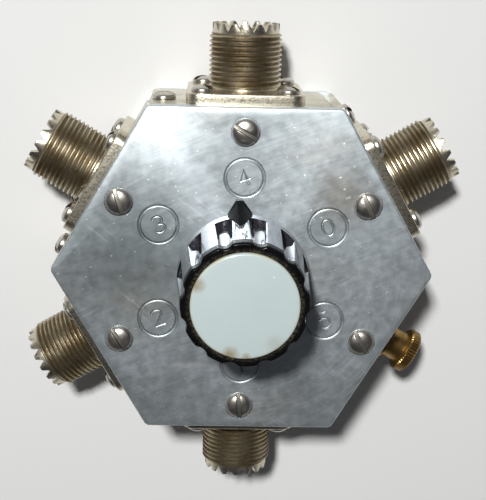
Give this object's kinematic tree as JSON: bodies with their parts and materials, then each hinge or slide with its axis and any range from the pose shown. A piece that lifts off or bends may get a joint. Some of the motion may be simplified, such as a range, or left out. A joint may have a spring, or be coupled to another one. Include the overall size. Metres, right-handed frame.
{
  "type": "coaxial antenna switch",
  "caption": "Six-sided metal coaxial antenna switch with threaded sockets round it, a ground terminal and a fluted selector knob.",
  "frame": {"origin": "centre of the back cover's outer face, on the knob's axis", "axes": "+Z along the knob's axis, out of the front plate; +Y towards the socket that the pointer shows at rest"},
  "size_m": [0.0976, 0.1042, 0.0551],
  "materials": {
    "face_plate": "brushed with fine slanting scratches, bright bevelled edge",
    "back_plate": "brushed, plain",
    "wall_sheet": "nickel-plated sheet, slightly tarnished",
    "bright_screws": "bright nickel-plated, grime in the slots",
    "socket_nickel": "nickel-plated brass, tarnished brown and olive in the threads",
    "insulator_brown": "moulded phenolic",
    "contact_silver": "silver-plated brass, dulled",
    "terminal_brass": "bare brass, dulled, bright on the knurl",
    "knob_black": "moulded, glossy, some grime",
    "knob_chrome": "mirror chrome on the fluted band",
    "knob_cap_grey": "pale grey-green, satin, brown stains at the rim",
    "turned_brass": "turned",
    "dark_steel": "black oxide",
    "shaft_steel": "ground, zinc-plated",
    "wafer_phenolic": "laminated phenolic",
    "contact_strip": "silver-plated spring brass",
    "wire_copper": "tinned copper wire, drawn bare"
  },
  "bodies": {
    "housing": {"front_plate": "face_plate", "back_cover": "back_plate", "wall_4": "wall_sheet", "wall_3": "wall_sheet", "wall_2": "wall_sheet", "wall_1": "wall_sheet", "wall_ground": "wall_sheet", "wall_common": "wall_sheet", "face_screws": "bright_screws", "back_screws": "bright_screws", "corner_screws": "bright_screws", "flange_screws": "bright_screws", "flange_nuts": "bright_screws", "ground_lock_washer": "bright_screws", "ground_hex_nut": "bright_screws", "bushing_washer": "bright_screws", "bushing_nut": "bright_screws", "socket_4_shell": "socket_nickel", "socket_3_shell": "socket_nickel", "socket_2_shell": "socket_nickel", "socket_1_shell": "socket_nickel", "socket_common_shell": "socket_nickel", "socket_4_insulator": "insulator_brown", "socket_3_insulator": "insulator_brown", "socket_2_insulator": "insulator_brown", "socket_1_insulator": "insulator_brown", "socket_common_insulator": "insulator_brown", "socket_4_contact": "contact_silver", "socket_3_contact": "contact_silver", "socket_2_contact": "contact_silver", "socket_1_contact": "contact_silver", "socket_common_contact": "contact_silver", "ground_stud": "terminal_brass", "bushing": "turned_brass", "spacer_posts": "turned_brass", "detent_plate": "shaft_steel", "detent_posts": "shaft_steel", "detent_spring": "shaft_steel", "stator_wafer": "wafer_phenolic", "contact_strips": "contact_strip", "contact_rivets": "contact_strip", "common_strip": "contact_strip", "jumper_wires": "wire_copper"},
    "knob": {"knob_body": "knob_black", "knob_band": "knob_chrome", "knob_pointer": "knob_black", "knob_cap": "knob_cap_grey", "knob_insert": "turned_brass", "set_screw": "dark_steel", "shaft": "shaft_steel", "shaft_clip": "dark_steel", "star_wheel": "shaft_steel", "rotor_hub": "wafer_phenolic", "rotor_blade": "contact_strip", "rotor_button": "turned_brass"},
    "ground_washer": {"ground_washer": "terminal_brass"},
    "thumb_nut": {"thumb_nut": "terminal_brass"}
  },
  "joints": [
    {"name": "knob_turn", "type": "hinge", "parent": "housing", "child": "knob", "pos_m": [0, 0, 0.0345], "axis": [0, 0, 1], "range_deg": [0, 240], "deforming": ["detent_spring"]},
    {"name": "ground_washer_slide", "type": "slide", "parent": "housing", "child": "ground_washer", "axis": [0.866, -0.5, 0], "range_m": [0, 0.00238]},
    {"name": "thumb_nut_turn", "type": "hinge", "parent": "ground_washer", "child": "thumb_nut", "pos_m": [0.03533, -0.0204, 0.015], "axis": [0.866, -0.5, 0], "range_deg": [0, 1080]}
  ],
  "couplings": [
    {"joint": "thumb_nut_turn", "follows": "ground_washer_slide", "rad_per_m": 7915.8}
  ]
}
